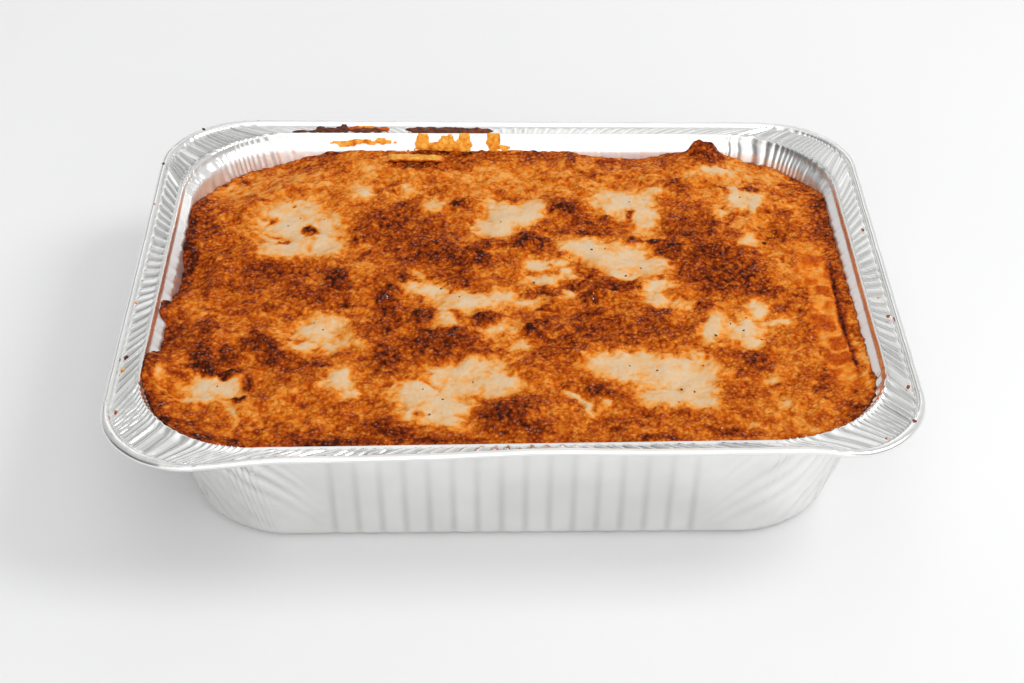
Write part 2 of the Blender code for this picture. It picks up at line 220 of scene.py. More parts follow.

# Browned and charred places, and the painted shade of two holes: middle x, y, half sizes, how dark, turn
DARK_PATCHES = (
    # edge of the crust on the left and back left
    (-142, 30, 3, 34, 0.9), (-137, 45, 7, 16, 0.5), (-133, 20, 9, 22, 0.35), (-140, 72, 3, 4, 0.6),
    (-125, 94, 3, 2, 0.6, 40), (-86, 106, 5, 6, 0.6), (-96, 104, 8, 4, 0.35), (-78, 97, 4, 7, 0.5),
    # spots in the big pale patch
    (-89.5, 46, 3.2, 4.0, 1.1, 20), (-102, 37, 3.2, 2.6, 0.75), (-105, 41, 4.0, 1.8, 0.5),
    (-107, 53, 2.6, 2.0, 0.45), (-98, 66, 1.4, 1.2, 0.5),
    # back
    (-52, 80, 4, 7, 0.4), (-44, 101, 12, 3, 0.9, -5), (-22, 108, 8, 8, 0.6), (-8, 109, 7, 5, 0.6),
    (-36, 113, 9, 4, 0.6), (15, 109, 9, 6, 0.5), (29, 107, 3, 7, 1.0), (38, 90, 6, 6, 0.35),
    (46, 106, 4, 6, 0.8), (57, 105, 3.5, 4.5, 1.0), (78, 84, 5, 8, 0.6, 10), (74, 105, 5, 8, 0.45),
    (94, 109, 7, 8, 1.0), (99, 80, 2, 4, 0.8, 25), (111, 78, 3.5, 3.5, 0.8), (134, 84, 5, 8, 0.75, 20),
    (128, 76, 6, 6, 0.45), (140, 55, 4, 24, 0.65), (124, 42, 9, 9, 0.35), (123, 57, 4, 5, 0.4),
    # second row
    (-48, 66, 5, 6, 0.7), (-22, 65, 3.5, 4, 0.9), (-31, 77, 3, 3, 0.35), (25, 61, 5, 6, 1.05),
    (36, 41, 5, 4, 0.8), (36, 45, 9, 8, 0.35), (44, 52, 3, 4, 0.6), (54, 57, 2.4, 3, 0.6),
    (55, 35, 3, 2.4, 0.85), (66, 32.5, 8, 1.2, 0.7, -6), (72, 25, 5, 5, 0.85), (82, 42, 13, 12, 0.4),
    (90, 52, 6, 10, 0.35),
    # brown areas left of and at the middle
    (-55, 48, 12, 14, 0.45), (-40, 34, 14, 16, 0.5), (-68, 34, 4, 3, 0.8), (-38, 23, 9, 7, 0.85),
    (-22, 18, 9, 9, 0.65), (-13, 24, 4, 7, 1.0), (-2, 30, 5, 3, 0.5), (8, 33, 6, 6, 1.0),
    (-45, 5, 3, 3, 0.8), (-25, 3, 8, 6, 0.4), (-76, 4, 5, 6, 1.25), (-86, -5, 12, 12, 0.3),
    (-107, 14, 10, 9, 0.55), (-95, 12, 12, 6, 0.4), (-120, 0, 10, 6, 0.4), (-142, 2, 3, 7, 0.6),
    (-133, 0, 6, 8, 0.35),
    # the dark field at the right
    (88, 22, 14, 9, 0.7), (86, 8, 12, 9, 0.75), (103, 6, 9, 12, 0.7), (93, -2, 10, 6, 0.65),
    (108, -7, 8, 4, 0.5), (84, -17, 3.5, 4, 0.85), (116, -20, 3.5, 3, 0.6), (124, -8, 5, 6, 0.4),
    (134, -10, 3, 3, 0.7), (140, 2, 3, 26, 0.6),
    # across the middle
    (33, 7, 5, 4, 0.6), (28, 0, 6, 3, 0.6), (46, -3, 9, 4, 0.95, 10), (34, -11, 5, 5, 0.8, 30),
    (14, -6, 7, 4, 0.6), (15, -19, 2.4, 2, 0.6), (32, -24, 8, 4, 0.75, 35), (12, -29, 4, 3, 0.8, 30),
    (7.5, -35, 2.4, 3.4, 1.6, -25), (13, -36, 4, 4, 0.7), (22, -44, 10, 7, 0.5), (38, -36, 13, 10, 0.45),
    (22, -54, 6, 4, 0.35), (-11, -27, 4, 6, 0.85), (-24, -37, 5, 4, 0.9), (-37, -23, 5, 4, 0.8),
    (-48, -26, 7, 8, 0.45), (-30, -45, 18, 8, 0.6), (-54, -12, 4, 12, 0.85), (-53, -34, 5, 9, 0.4),
    (-52, -56, 6, 9, 0.75), (-14, -52, 8, 3, 0.35), (62, -22, 5, 4, 0.6), (58, -36, 12, 9, 0.35),
    # left
    (-71, -15, 3, 2, 0.7), (-114, -20, 5, 6, 0.35), (-105, -43, 6, 5, 0.9), (-107, -36, 1.6, 6, 0.8),
    (-96, -55, 11, 5, 0.6, -45), (-82, -58, 7, 5, 0.5), (-128, -33, 3, 9, 0.75),
    (-128, -50, 4, 8, 1.0, 10), (-116, -52, 4, 6, 0.75), (-125, -61.5, 8, 2.4, 1.35, -18),
    (-115, -64, 5, 2.6, 1.3, -10), (-138, -38, 5, 16, 0.4), (-147, -15, 3, 5, 0.7),
    (-147, -57, 4, 7, 0.5), (-140, -92, 4, 10, 0.4, 35),
    # front
    (-127, -97, 4, 1.6, 0.8, -10), (-113, -108, 14, 2.4, 0.7, -12), (-70, -109, 20, 3, 0.9, -2),
    (-86, -106, 8, 5, 0.5), (-48, -102, 7, 6, 0.85), (-30, -108, 16, 2, 0.55), (-3, -94, 8, 8, 0.85),
    (-8, -101, 4, 4, 0.6), (8, -103, 5, 4, 0.6), (3, -86, 8, 4, 0.35), (33, -78, 10, 3, 0.6, -25),
    (54, -108.5, 7, 2, 0.9), (84, -104, 4, 2.4, 0.7), (97, -58, 9, 8, 0.4), (125, -72, 5, 9, 0.45),
    (125, -36, 2.4, 10, 0.4), (86, -80, 4, 7, 0.35), (136, -78, 4, 4, 0.5), (133, -93, 4, 6, 0.45, -30),
    (60, -90, 14, 4, 0.3),
    # painted shade of the holes beside the curled sheet of pasta at the front left
    (-109, -81, 1.9, 2.2, 1.6), (-106, -72, 2.6, 1.6, 1.3, 30),
)

# Raised places of the crust: x, y, half sizes, height
CRUST_BUMPS = (
    (100, 14, 20, 22, 0.9), (-38, 24, 22, 20, 0.8), (8, 31, 7, 6, 1.1), (25, 62, 7, 6, 1.1),
    (38, -8, 12, 7, 1.0), (-56, -8, 12, 12, 0.7), (7, -34, 6, 5, 1.2), (-12, -28, 6, 6, 0.9),
    (-26, -38, 9, 6, 0.9), (0, -93, 13, 9, 0.9), (-49, -97, 9, 7, 0.8), (-126, -42, 11, 16, 1.1),
    (30, 108, 9, 5, 1.2), (-109, -88, 4, 7, 1.2), (-112, -66, 9, 3, 1.3), (-62, 108, 12, 5, 1.0),
)

# Blisters that stand up out of the crust: x, y, half sizes, height
BLISTERS = (
    (-77, 5, 6.2, 5.6, 1.6), (8, -33, 6.0, 4.6, 1.1), (-12, -28, 5.0, 4.6, 0.9), (8, 31, 6.5, 5.0, 0.9),
    (-1, -92, 9.0, 6.5, 1.0),
)

# Sunken places of the crust: x, y, half sizes, depth
CRUST_HOLLOWS = (
    (-97, 45, 19, 24, 0.7), (-2, 54, 16, 15, 0.6), (55, 60, 13, 18, 0.5), (45, 20, 24, 15, 0.6),
    (-20, -10, 22, 11, 0.6), (-78, -37, 14, 13, 0.5), (-26, -78, 22, 15, 0.6), (60, -70, 24, 15, 0.7),
    (97, -35, 15, 13, 0.5),
)

# Where the crust's edge stands higher or lower on the foil: place (x, y), reach, rise
EDGE_CHANGES = (
    (-149, -64, 16, 6.0), (-143, -86, 12, 3.2), (-148, -20, 9, 3.9), (-128, -108, 22, 3.2),
    (94, 118, 9, 3.8), (147, -50, 60, 1.2), (145, -90, 12, 1.4), (-144, 12, 17, -4.4),
    (-126, 102, 40, -6.2), (54, 115, 24, -3.2), (126, 103, 32, -3.6),
)

# Burnt sauce in the rim's channel at the back: middle x, y, half sizes, how much, turn, how baked
BURNT_SAUCE = (
    (-97, 123.2, 7, 0.7, 0.7, 0, 0.9), (-90, 125.4, 2.4, 2.8, 1.0, 30, 1.0),
    (-79.5, 126.0, 3.2, 3.0, 1.0, 30, 0.98), (-84, 124.6, 9, 1.9, 1.0, 0, 0.95),
    (-73, 126.0, 5, 1.7, 0.9, 0, 0.45), (-68, 124.6, 8, 1.7, 1.0, 0, 0.84),
    (-61, 125.8, 4, 1.6, 0.9, 0, 0.55), (-69, 127.6, 6, 0.8, 0.8, 0, 0.28),
    (-40, 124.8, 8, 2.9, 1.0, 0, 0.92), (-28, 124.6, 10, 3.0, 1.0, 0, 0.97),
    (-16, 124.3, 8, 2.5, 1.0, 0, 0.86),
)

# Sauce that ran down the back shoulder: the same kind of list
RUNNY_SAUCE = (
    (-70, 117.6, 14, 0.7, 0.9, 0, 0.28), (-77, 116.7, 4, 0.6, 0.8, 0, 0.34),
    (-60, 118.0, 4, 0.7, 0.9, 0, 0.26), (-41, 117.3, 3.5, 2.6, 1.0, 0, 0.24),
    (-35, 116.2, 5, 1.5, 1.0, 0, 0.27), (-32, 115.4, 13, 1.3, 1.0, 0, 0.34),
    (-29, 117.0, 4.5, 2.2, 1.0, 0, 0.23), (-21, 117.4, 3.5, 2.8, 1.0, 0, 0.26),
    (-7, 117.2, 3.2, 2.8, 1.0, 0, 0.30), (-2, 116.0, 2.4, 1.0, 0.8, 0, 0.26),
    (-8.5, 119.6, 1.8, 0.7, 0.9, 0, 0.45),
)

# Specks of sauce on the rim: x, y, radius, how baked
RIM_SPECKS = (
    (-157.2, -67.4, 0.85, 0.24), (-156.0, -94.8, 0.85, 0.55), (-157.0, -58.6, 0.9, 1.0),
    (-145.6, 122.2, 0.8, 0.95), (-160.6, 90.0, 0.7, 0.95), (157.0, 34.8, 0.7, 0.7),
    (157.0, -35.0, 0.9, 0.72), (155.3, -21.2, 0.7, 0.26), (156.9, -84.6, 0.8, 0.62),
    (155.0, -109.4, 0.8, 0.78), (142.8, -118.0, 0.6, 0.5), (-158.4, -20.0, 0.5, 0.4),
    (-157.6, 12.0, 0.5, 0.45), (-160.2, 55.0, 0.45, 0.5),
)

# Ground pepper on the crust: x, y, radius
PEPPER = (
    (84, -9, 0.55), (85, -40, 0.6), (68, -51, 0.55), (68, -76, 0.6), (97, -36, 0.5), (80, -21, 0.5),
    (-30, -4, 0.55), (-26, -7, 0.4), (2, 10, 0.5), (10, 2, 0.55), (-33, -93, 0.55), (36, 25, 0.5),
    (50, 5, 0.55), (-98, -101, 0.6), (42, 27, 0.35), (113, 31, 0.9), (57, 12, 0.4), (-22, -12, 0.35),
    (-95, 56, 0.4), (-100, 49, 0.35), (-84, 54, 0.35), (-79, -33, 0.4), (-83, -28, 0.35), (59, -64, 0.4),
    (73, -78, 0.45), (48, -61, 0.35), (-16, -70, 0.4), (-28, -82, 0.45), (-36, -76, 0.35), (104, -41, 0.4),
    (92, -31, 0.4), (99, -27, 0.35), (-4, 49, 0.35), (55, 66, 0.35), (26, 20, 0.4), (-41, 2, 0.4),
    (-119, -72, 0.35), (66, -86, 0.35), (78, -60, 0.4), (106, 70, 0.35),
)

# Soft parts of the sky that the foil mirrors: direction, reach in degrees, light added
SKY = (
    ((-0.27, 0.83, 0.49), 15, -0.26),   # dim part of the room behind the tray
    ((-1.0, -0.2, 0.15), 50, -0.38),    # dark doorway on the left
    ((0.26, 0.80, 0.56), 24, 0.30),
    ((-0.2, 0.72, 0.66), 16, 0.30),
    ((0.0, 0.88, 0.47), 13, 0.50),
    ((0.0, 0.1, 1.0), 38, 0.45),        # ceiling
    ((0.0, -0.65, 0.75), 42, 0.50),     # window above the viewer
    ((0.8, 0.5, 0.15), 40, 0.25),
    ((-0.57, 0.82, 0.0), 30, 0.30),
    ((0.0, -1.0, 0.2), 52, 1.15),
    ((0.0, 1.0, 0.02), 28, 0.45),       # white backdrop
)

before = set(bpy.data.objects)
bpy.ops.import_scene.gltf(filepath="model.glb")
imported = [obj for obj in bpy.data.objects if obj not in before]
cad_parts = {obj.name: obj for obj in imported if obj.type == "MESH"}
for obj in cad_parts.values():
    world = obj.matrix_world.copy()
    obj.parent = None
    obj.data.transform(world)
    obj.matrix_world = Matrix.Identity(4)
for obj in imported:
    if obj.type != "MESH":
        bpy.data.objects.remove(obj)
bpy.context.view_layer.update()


def smooth(t):
    t = np.clip(t, 0.0, 1.0)
    return t * t * (3 - 2 * t)


def mix(a, b, share):
    return a + (b - a) * share


def srgb(red, green, blue):
    """A colour as the eye reads it, 0 to 255, turned into the linear values that the shader takes."""
    linear = [v / 255 / 12.92 if v < 11 else ((v / 255 + 0.055) / 1.055) ** 2.4 for v in (red, green, blue)]
    return (*linear, 1.0)


def ripple(x, y, size, seed, octaves=1):
    """Smooth noise, about -1 to 1, at places in millimetres, with lumps of a size."""
    x, y = np.broadcast_arrays(np.asarray(x, float), np.asarray(y, float))
    total = np.zeros(x.shape)
    for octave in range(octaves):
        k = 2 ** octave / size
        layer = [noise.noise(Vector((a * k, b * k, seed + 7.3 * octave))) for a, b in zip(x.flat, y.flat)]
        total += np.array(layer).reshape(x.shape) * 0.5 ** octave
    return total


def oval(x, y, patch):
    """Distance from the middle of an oval patch, 1 on its edge; its sixth value, if it has one, is a turn."""
    cx, cy, rx, ry, _, turn = (*patch, 0)[:6]
    c, s = math.cos(math.radians(turn)), math.sin(math.radians(turn))
    along = (x - cx) * c + (y - cy) * s
    across = (y - cy) * c - (x - cx) * s
    return np.hypot(along / rx, across / ry)


def grid_faces(nx, ny, start=0):
    """Four-sided faces between the points of a grid, as an array over the grid."""
    index = start + np.arange(nx * ny).reshape(nx, ny)
    return np.stack([index[:-1, :-1], index[1:, :-1], index[1:, 1:], index[:-1, 1:]], axis=2)


def grid_border(nx, ny):
    """Numbers of the points round the edge of a grid."""
    index = np.arange(nx * ny).reshape(nx, ny)
    return np.concatenate([index[:-1, 0], index[-1, :-1], index[1:, -1][::-1], index[0, 1:][::-1]])


def place_object(name, data):
    made = bpy.data.objects.new(name, data)
    bpy.context.scene.collection.objects.link(made)
    return made


def mesh_piece(name, points, faces, material, attributes):
    """A smooth mesh from points in millimetres, with a value at each point for its material to read."""
    mesh = bpy.data.meshes.new(name)
    mesh.from_pydata((np.asarray(points) * MM).tolist(), [], faces)
    mesh.update()
    for key, values in attributes.items():
        layer = mesh.attributes.new(key, "FLOAT", "POINT")
        layer.data.foreach_set("value", np.asarray(values, np.float32).ravel())
    for face in mesh.polygons:
        face.use_smooth = len(face.vertices) < LARGE_FACE
    mesh.materials.append(material)
    piece = place_object(name, mesh)
    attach(piece, "root")
    return piece


# Foil pan

def rim_rise(x, y, z):
    """How far the hand-twisted rim stands above or below its true level at a point."""
    fade = smooth((z - TWIST_STARTS_Z) / (RIM_Z - TWIST_STARTS_Z))
    return -TWIST * fade * (x / HALF_LENGTH) * (y / HALF_WIDTH)


def front_bend(x):
    """Angle by which the rim is bent up along the front."""
    ends = smooth((x + 130) / 45) * smooth((144 - x) / 34)
    middle = 5.5 * np.exp(-((x - 12) / 32) ** 2)
    return np.radians(ends * (16 + 4 * smooth((x + 70) / 100) + middle))


def pan_columns():
    """Every place round the pan: its side, whether it is on the corner after it, and its share of either."""
    side, corner, share = [], [], []
    for k in (FRONT, RIGHT, BACK, LEFT):
        steps = LONG_SIDE_STEPS if k in (FRONT, BACK) else SHORT_SIDE_STEPS
        side += [k] * (steps + CORNER_STEPS)
        corner += [False] * steps + [True] * CORNER_STEPS
        share += [2 * (i + 0.5) / steps - 1 for i in range(steps)]
        share += [(i + 0.5) / CORNER_STEPS for i in range(CORNER_STEPS)]
    return np.array(side), np.array(corner), np.array(share)


SIDE, ON_CORNER, SHARE = pan_columns()
LONG_SIDE = SIDE % 2 == 0


def pan_ring(inset, corner):
    """Points and outward directions round the pan at one inset."""
    reach = np.where(LONG_SIDE, HALF_WIDTH, HALF_LENGTH) - inset
    span = np.where(LONG_SIDE, HALF_LENGTH, HALF_WIDTH) - inset
    angle = np.where(ON_CORNER, (SHARE - 1) * math.pi / 2, -math.pi / 2)
    out_x, out_y = np.cos(angle), np.sin(angle)
    flat_x = np.where(ON_CORNER, span - corner + out_x * corner, SHARE * (span - corner))
    flat_y = np.where(ON_CORNER, corner - reach + out_y * corner, -reach)
    c = np.cos(SIDE * math.pi / 2).round()
    s = np.sin(SIDE * math.pi / 2).round()
    return c * flat_x - s * flat_y, s * flat_x + c * flat_y, c * out_x - s * out_y, s * out_x + c * out_y


def flutes(x, y):
    """Depth of the pressed flutes, 0 to 1, at places on the wall; the corners have none."""
    along = np.where(LONG_SIDE, x, y)
    count = np.where(LONG_SIDE, FLUTES_ON_LONG_SIDE, FLUTES_ON_SHORT_SIDE)
    near = along / FLUTE_PITCH + (count - 1) / 2
    index = np.round(near)
    offset = np.abs(near - index) * FLUTE_PITCH
    groove = np.cos(np.clip(offset / FLUTE_REACH, 0, 1) * math.pi / 2) ** 2
    return groove * (index >= 0) * (index < count) * ~ON_CORNER


def pleat(place, seed, width):
    """Rounded folds, one in each unit, with flat foil between them; each has its own height."""
    index = np.floor(place)
    each = 0.6 + 0.7 * np.modf(np.abs(np.sin(index * 12.9898 + seed) * 43.7585))[0]
    off = np.abs(place - index - 0.5) / width
    return np.cos(np.clip(off, 0, 1) * math.pi / 2) ** 2 * each


def crimps(inset):
    """The small folds across the rim's channel: their height, and where flat foil lies between them, the mask
    for painted shade there.
    """
    along = SHARE * np.where(LONG_SIDE, CRIMPED_LONG, CRIMPED_SHORT)
    # The folds lean a little at the left end of the front, and most along the right side
    lean = np.select([SIDE == FRONT, SIDE == RIGHT, SIDE == BACK],
                     [-0.2 * (1 - smooth((along + 60) / 60)), 0.45, 0.05], 0.1)
    pitch = np.where(LONG_SIDE, CRIMP_PITCH_LONG, CRIMP_PITCH_SHORT)
    place = (along + lean * (inset - 7) + 0.8 * np.sin(along * 0.21 + SIDE)) / pitch
    window = smooth((1 - np.abs(SHARE)) * 9) * ~ON_CORNER
    across = smooth((inset - 3.1) / 1.7) * smooth((11.6 - inset) / 1.7)
    folds = pleat(place, SIDE * 7.1, 0.36)
    height = np.choose(SIDE, CRIMP_HEIGHTS)
    return height * folds * window * across, (1 - smooth(folds / 0.4)) * window * across


def corner_pleats(inset):
    """The radial folds at the corners, from the rolled edge to the food, in the same two values."""
    uneven = 1.1 * np.sin(SHARE * 11 + SIDE) + 0.06 * (inset - 8)
    place = np.where(ON_CORNER, SHARE, 0.0) * CORNER_PLEATS + uneven
    window = smooth(SHARE * 12) * smooth((1 - SHARE) * 12) * ON_CORNER
    across = smooth((inset - 2.2) / 2.0) * (1 - 0.4 * smooth((inset - 15) / 8))
    folds = pleat(place, SIDE * 3.7, 0.42)
    return CORNER_PLEAT_HEIGHT * folds * window * across, (1 - smooth(folds / 0.4)) * window * across


def wall_wrinkles(z):
    """Depth, 0 to 1, of the long soft wrinkles that fan out from each corner down the walls."""
    straight = np.where(LONG_SIDE, CRIMPED_LONG, CRIMPED_SHORT) + 2
    from_corner = np.where(ON_CORNER, np.abs(SHARE - 0.5) * CORNER_REACH,
                           CORNER_REACH / 2 + straight * (1 - np.abs(SHARE)))
    corner = np.where(ON_CORNER | (SHARE > 0), SIDE, (SIDE - 1) % 4)
    lean = 0.3 + 0.008 * from_corner
    fold = (from_corner - lean * (WALL_TOP_Z - z)) / WRINKLE_PITCH
    fold = fold + 0.4 * np.sin(from_corner * 0.11 + 2 * corner)
    index = np.floor(fold)
    each = 0.12 + 0.88 * np.modf(np.abs(np.sin(index * 39.346 + corner * 5.3) * 43.7585))[0] ** 2
    window = (1 - smooth((from_corner - 26) / 38)) * smooth((WALL_TOP_Z - z) / 9) * smooth((z - 2) / 12)
    return np.sin(fold * math.pi) ** 4 * each * window


def pan_loop(inset, z, corner, share):
    """One ring of points round the pan, with flutes, crimps, pleats, the bent front and the twist."""
    x, y, out_x, out_y = pan_ring(inset, corner)
    push = -FLUTE_DEPTH * share * flutes(x, y)
    push = push - WRINKLE_DEPTH * wall_wrinkles(z) * (share > WALL_SHARE)
    if share == 0 and inset < RIDGE_INSET:
        ring_z = z + crimps(inset)[0] + corner_pleats(inset)[0] - 0.2 * ON_CORNER
    else:
        ring_z = np.full_like(x, z)
        push = push + corner_pleats(inset)[0] * (0.35 + 0.5 * smooth((inset - 13.0) / 1.5))
    wobble = ripple(x, y, 11, 3.0) * 0.28 + ripple(x, y, 4, 9.0) * 0.1
    if inset < 3.2:
        ring_z = ring_z + wobble * 0.8
    push = push + wobble * 0.4 * smooth((z - 2) / 6)
    x = x + out_x * push
    y = y + out_y * push
    # The part outside the ridge turns up about it along the front
    reach = np.where((y < 0) & (out_y < -0.2), max(0.0, RIDGE_INSET - inset), 0.0)
    angle = front_bend(x)
    rise = ring_z - RIDGE_Z
    bent = reach > 0
    slide = np.where(bent, reach * (np.cos(angle) - 1) - rise * np.sin(angle), 0.0)
    lifted = np.where(bent, RIDGE_Z + reach * np.sin(angle) + rise * np.cos(angle), ring_z)
    x = x + out_x * slide
    y = y + out_y * slide
    return np.stack([x, y, lifted + rim_rise(x, y, z)], axis=1)


def bead_levels():
    """Stations round the rolled edge, from its inner side over the top to its underside."""
    levels = []
    for step in range(BEAD_STEPS + 1):
        angle = math.radians(mix(25, 335, step / BEAD_STEPS))
        levels.append((BEAD_RADIUS * (1 + math.cos(angle)), RIM_Z - BEAD_RADIUS * (1 - math.sin(angle)),
                       BEAD_CORNER, 0.0))
    return levels


def finer(stations, step):
    """The same stations with others between them, so that none is further below the last than step."""
    result = [stations[0]]
    for upper, lower in zip(stations, stations[1:]):
        count = max(1, math.ceil((upper[1] - lower[1]) / step))
        for k in range(count):
            result.append(tuple(mix(a, b, (k + 1) / count) for a, b in zip(upper, lower)))
    return result


def at_back(ring):
    """1 at the back of the pan, fading to 0 towards the front."""
    return smooth((ring[:, 1] - 80) / 30)


def brown_line_on(ring, inset):
    """The broken brown line along the brim, on its steep inner face."""
    line = math.exp(-((inset - BRIM_INSET) / BRIM_LINE) ** 2)
    broken = 0.3 + 0.7 * ripple(ring[:, 0], ring[:, 1], 14, 1.0)
    return np.clip(line * broken * (1 - 0.6 * at_back(ring)) * np.where(SIDE == RIGHT, 0.5, 0.8), 0, 1)


def painted_groove_shade(ring, inset, z, share):
    """Painted shade: where the foil's colour is darkened, in the flutes, in the wrinkles, and between the
    crimps and pleats.
    """
    depth = max(0.0, (share - WALL_SHARE) / (1 - WALL_SHARE))
    pressed = 0.55 * depth * flutes(ring[:, 0], ring[:, 1]) ** 1.5
    valley = crimps(inset)[1] + 0.6 * corner_pleats(inset)[1] if inset < RIDGE_INSET else 0.0
    valley = valley * np.select([SIDE == FRONT, (SIDE == BACK) & ~ON_CORNER], [1.2, 0.3], 0.8)
    return np.maximum(pressed, 0.6 * wall_wrinkles(z) * (share > WALL_SHARE)) + valley


def make_pan(material):
    """One closed skin: under the base, up the outside, over the rolled edge and down the inside."""
    outside = finer(OUTSIDE_STATIONS, OUTSIDE_STEP)[::-1] + bead_levels()[::-1]
    rings, brown_line, groove, frost = [], [], [], []
    for number, (inset, z, corner, share) in enumerate(outside + list(PAN_STATIONS)):
        ring = pan_loop(inset, z, corner, share)
        inner = number >= len(outside)
        # painted shade along the crease at the back of the brim
        crease = 0.9 * math.exp(-((inset - CREASE_INSET) / 0.2) ** 2) * at_back(ring)
        rings.append(ring)
        brown_line.append(brown_line_on(ring, inset) * inner)
        groove.append(painted_groove_shade(ring, inset, z, share) + crease * inner)
        misted = 0.5 * smooth((inset - 12.4) / 0.6) + 0.5 * smooth((inset - 15.5) / 1.5)
        frost.append(np.full(len(SHARE), misted * inner))
    count = len(SHARE)
    faces = []
    for low in range(0, count * (len(rings) - 1), count):
        for i in range(count):
            j = (i + 1) % count
            faces.append((low + i, low + j, low + count + j, low + count + i))
    faces.append(tuple(reversed(range(count))))
    faces.append(tuple((len(rings) - 1) * count + i for i in range(count)))
    pan = mesh_piece("foil_pan", np.concatenate(rings), faces, material,
                     {"brown_line": np.concatenate(brown_line), "groove": np.concatenate(groove),
                      "frost": np.concatenate(frost)})
    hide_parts("foil_tray")
    return pan


# Lasagne

def inner_inset(z):
    """Inset and corner radius of the pan's inner face at a height."""
    stations = [s for s in PAN_STATIONS if s[0] >= RIDGE_INSET][::-1]
    heights = [s[1] for s in stations]
    return (np.interp(z, heights, [s[0] for s in stations]), np.interp(z, heights, [s[2] for s in stations]))


def square_to_outline(u, v, half_x, half_y, corner):
    """Points on a rounded rectangle that match points (u, v) on the edge of a square from -1 to 1."""
    arc_share = 0.30
    across = np.abs(v) >= np.abs(u)
    along = np.where(across, u, v)
    lead = np.where(across, v, u)
    span = np.where(across, half_x, half_y)
    reach = np.where(across, half_y, half_x)
    straight = 1 - arc_share
    turn = np.clip((np.abs(along) - straight) / arc_share, 0, 1) * math.pi / 4
    on_side = np.abs(along) <= straight
    p = np.where(on_side, along / straight * (span - corner),
                 np.copysign(span - corner + corner * np.sin(turn), along))
    q = np.copysign(np.where(on_side, reach, reach - corner + corner * np.cos(turn)), lead)
    return np.where(across, p, q), np.where(across, q, p)


def outline_at(u, v, z):
    inset, corner = inner_inset(z)
    inset = inset + FOIL_GAP
    return square_to_outline(u, v, HALF_LENGTH - inset, HALF_WIDTH - inset, corner)


def edge_level(x, y):
    """Height of the crust's edge at places round the pan."""
    level = EDGE_LEVEL + 0.5 * ripple(x, y, 14, 3.1) + 0.7 * ripple(x, y, 5, 4.7, 2)
    for cx, cy, reach, rise in EDGE_CHANGES:
        level = level + rise * (1 - smooth((np.hypot(x - cx, y - cy) / reach - 0.4) / 0.8))
    return level


def strongest(x, y, patches, core, fade):
    """The strongest of a list of oval patches at each place: full inside core, gone beyond core + fade."""
    result = np.zeros_like(x)
    for patch in patches:
        result = np.maximum(result, patch[4] * (1 - smooth((oval(x, y, patch) - core) / fade)))
    return result


def fading(x, y, patches, reach):
    """Like strongest, but fading evenly from the middle of each patch to reach times its size."""
    result = np.zeros_like(x)
    for patch in patches:
        result = np.maximum(result, patch[4] * (1 - oval(x, y, patch) / reach))
    return result


def strip(t, start, end, soft):
    """1 between start and end, fading over soft at both."""
    return smooth((t - start) / soft + 0.5) * smooth((end - t) / soft + 0.5)


def creases(x, y, size, seed):
    """Thin lines where two lumps of crust meet, 0 to 1."""
    return smooth(1 - np.abs(ripple(x, y, size, seed, 2)) * 4.5)


def baking(x, y, share):
    """How far each place is baked (0 pale sauce, 0.5 orange brown, 1 charred), how dark and grainy it is,
    and where it is torn or creased. The bake value also holds painted shade: in the gap inside the lip and in
    two holes at the front left."""
    warp_x = x + 3.2 * ripple(x, y, 10, 21.0, 2) + 1.2 * ripple(x, y, 3, 25.0)
    warp_y = y + 2.6 * ripple(x, y, 10, 31.0, 2) + 1.2 * ripple(x, y, 3, 35.0)
    dark = strongest(warp_x, warp_y, DARK_PATCHES, 0.1, 1.8)
    golden = strongest(warp_x, warp_y, GOLDEN_PATCHES, 0.1, 1.5)
    pale = fading(warp_x, warp_y, PALE_PATCHES, 1.85) * (1 - 0.85 * smooth(dark * 1.2))
    pale = mix(pale, 0.72 * smooth((pale + 0.2 * ripple(x, y, 4, 29.0, 2) - 0.1) / 0.5), 0.5)
    swirl_x = x + 3.4 * ripple(x, y, 11, 61.0, 2)
    swirl_y = y + 3.4 * ripple(x, y, 11, 71.0, 2)
    fold = creases(swirl_x, swirl_y, 10, 45.0)
    wrinkle = creases(warp_x, warp_y, 5, 47.0)
    strand = creases(swirl_x, swirl_y, 7, 49.0)
    bake = 0.455 + 0.05 * ripple(x, y, 24, 41.0, 2) + 0.11 * ripple(swirl_x, swirl_y * 1.2, 8, 43.0, 2)
    bake = bake - 0.09 * smooth((y - 62) / 25) - 0.05 * smooth((x - 98) / 15)
    bake = bake + (0.1 + 0.2 * dark) * ripple(x, y, 2.2, 48.0, 2)
    bake = bake + 0.08 * fold + 0.05 * wrinkle - 0.08 * strand
    bake = bake + 0.37 * dark - 0.16 * golden - 0.62 * pale
    bake = bake + 0.16 * smooth((share - 0.955) / 0.04) * (0.8 + ripple(x, y, 9, 59.0))
    least = 0.05 + 0.09 * ripple(x, y, 8, 51.0, 2) + 0.07 * ripple(x, y, 3, 53.0, 2)
    soft = 0.045
    bake = least + soft * np.logaddexp(0, (bake - least) / soft)
    # the translucent amber strip inside the lip at the right
    amber = strip(warp_x, 127.5, 139.0, 5.0) * strip(warp_y, -76, 26, 16)
    bubbles = smooth((np.abs(ripple(warp_x, warp_y * 0.7, 9, 55.0)) - 0.05) / 0.35)
    bake = mix(bake, 0.27 + 0.34 * bubbles + 0.14 * ripple(x, y, 3, 57.0, 2), 0.85 * amber)
    gap = np.exp(-((x - lip_line(y)) / 0.7) ** 2) * strip(y, -66, 12, 10)
    # painted shade: the crust is darkened along the narrow gap inside the upturned lip, which crust_height
    # also sinks
    bake = bake + 0.5 * gap
    grain = smooth((bake - 0.1) / 0.6) * (1 - 0.6 * amber)
    return bake, dark, grain, gap + smooth((bake - 0.05) / 0.3) * (0.3 * fold + 0.25 * wrinkle)


def lip_line(y):
    """Where the crust parts from its upturned lip along the right side."""
    return LIP_X + 1.4 * np.sin(y * 0.06) - 0.0007 * (y + 30) ** 2


